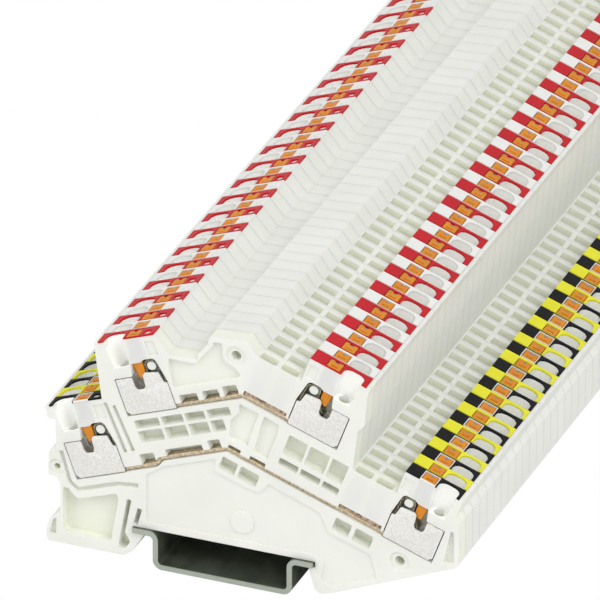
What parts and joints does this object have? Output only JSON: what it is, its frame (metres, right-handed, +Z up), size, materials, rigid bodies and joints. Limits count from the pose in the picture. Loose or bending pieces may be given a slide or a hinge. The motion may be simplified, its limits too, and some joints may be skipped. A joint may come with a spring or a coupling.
{
  "type": "din rail terminal block",
  "caption": "Row of slim double-level push-in terminal blocks on a 35 mm rail, with orange release pushers and coloured markers.",
  "frame": {"origin": "underside of the rail, on its centre line, at the middle of the row", "axes": "+X across the rail, +Y along the rail away from the open block, +Z up from the mounting panel"},
  "size_m": [0.0807, 0.1626, 0.0498],
  "materials": {
    "housing": "matt moulded polyamide, off-white",
    "rail_zinc": "galvanised steel strip, cut ends",
    "busbar": "tinned copper alloy with bare cut edges",
    "cage": "tin-plated sheet with a mottled bloom",
    "spring": "blued spring steel strip",
    "pusher": "orange moulded plastic",
    "marker_red": "red marker insert",
    "marker_white": "white marker insert",
    "marker_black": "black marker insert",
    "marker_yellow": "yellow marker insert",
    "contact": "copper alloy contact channel"
  },
  "bodies": {
    "root": {"rail": "rail_zinc", "housing_front": "housing", "housings_row": "housing", "upper_busbar_front": "busbar", "upper_busbars_row": "busbar", "lower_busbar_front": "busbar", "lower_busbars_row": "busbar", "clamp_cage_upper_left_front": "cage", "clamp_cages_upper_left_row": "cage", "spring_upper_left_front": "spring", "springs_upper_left_row": "spring", "marker_upper_left_front": "marker_red", "markers_upper_left_odd": "marker_red", "markers_upper_left_even": "marker_white", "clamp_cage_lower_left_front": "cage", "clamp_cages_lower_left_row": "cage", "spring_lower_left_front": "spring", "springs_lower_left_row": "spring", "marker_lower_left_front": "marker_black", "markers_lower_left_odd": "marker_black", "markers_lower_left_even": "marker_yellow", "clamp_cage_upper_right_front": "cage", "clamp_cages_upper_right_row": "cage", "spring_upper_right_front": "spring", "springs_upper_right_row": "spring", "marker_upper_right_front": "marker_red", "markers_upper_right_odd": "marker_red", "markers_upper_right_even": "marker_white", "bridge_contact_upper_right_front": "contact", "bridge_contacts_upper_right_row": "contact", "clamp_cage_lower_right_front": "cage", "clamp_cages_lower_right_row": "cage", "spring_lower_right_front": "spring", "springs_lower_right_row": "spring", "marker_lower_right_front": "marker_black", "markers_lower_right_odd": "marker_black", "markers_lower_right_even": "marker_yellow", "bridge_contact_lower_right_front": "contact", "bridge_contacts_lower_right_row": "contact"},
    "pusher_upper_left": {"pusher_upper_left_front": "pusher"},
    "pushers_upper_left_row": {"pushers_upper_left_row": "pusher"},
    "pusher_lower_left": {"pusher_lower_left_front": "pusher"},
    "pushers_lower_left_row": {"pushers_lower_left_row": "pusher"},
    "pusher_upper_right": {"pusher_upper_right_front": "pusher"},
    "pushers_upper_right_row": {"pushers_upper_right_row": "pusher"},
    "pusher_lower_right": {"pusher_lower_right_front": "pusher"},
    "pushers_lower_right_row": {"pushers_lower_right_row": "pusher"}
  },
  "joints": [
    {"name": "pusher_upper_left_press", "type": "slide", "parent": "root", "child": "pusher_upper_left", "axis": [0.342, 0, -0.9397], "range_m": [0, 0.0016], "stiffness_N_per_m": 6000, "springref_m": -0.0002, "deforming": ["spring_upper_left_front"]},
    {"name": "pushers_upper_left_row_press", "type": "slide", "parent": "root", "child": "pushers_upper_left_row", "axis": [0.342, 0, -0.9397], "range_m": [0, 0.0016], "stiffness_N_per_m": 60000, "springref_m": -0.0002, "deforming": ["springs_upper_left_row"]},
    {"name": "pusher_lower_left_press", "type": "slide", "parent": "root", "child": "pusher_lower_left", "axis": [0.342, 0, -0.9397], "range_m": [0, 0.0016], "stiffness_N_per_m": 6000, "springref_m": -0.0002, "deforming": ["spring_lower_left_front"]},
    {"name": "pushers_lower_left_row_press", "type": "slide", "parent": "root", "child": "pushers_lower_left_row", "axis": [0.342, 0, -0.9397], "range_m": [0, 0.0016], "stiffness_N_per_m": 60000, "springref_m": -0.0002, "deforming": ["springs_lower_left_row"]},
    {"name": "pusher_upper_right_press", "type": "slide", "parent": "root", "child": "pusher_upper_right", "axis": [-0.342, 0, -0.9397], "range_m": [0, 0.0016], "stiffness_N_per_m": 6000, "springref_m": -0.0002, "deforming": ["spring_upper_right_front"]},
    {"name": "pushers_upper_right_row_press", "type": "slide", "parent": "root", "child": "pushers_upper_right_row", "axis": [-0.342, 0, -0.9397], "range_m": [0, 0.0016], "stiffness_N_per_m": 60000, "springref_m": -0.0002, "deforming": ["springs_upper_right_row"]},
    {"name": "pusher_lower_right_press", "type": "slide", "parent": "root", "child": "pusher_lower_right", "axis": [-0.342, 0, -0.9397], "range_m": [0, 0.0016], "stiffness_N_per_m": 6000, "springref_m": -0.0002, "deforming": ["spring_lower_right_front"]},
    {"name": "pushers_lower_right_row_press", "type": "slide", "parent": "root", "child": "pushers_lower_right_row", "axis": [-0.342, 0, -0.9397], "range_m": [0, 0.0016], "stiffness_N_per_m": 60000, "springref_m": -0.0002, "deforming": ["springs_lower_right_row"]}
  ]
}
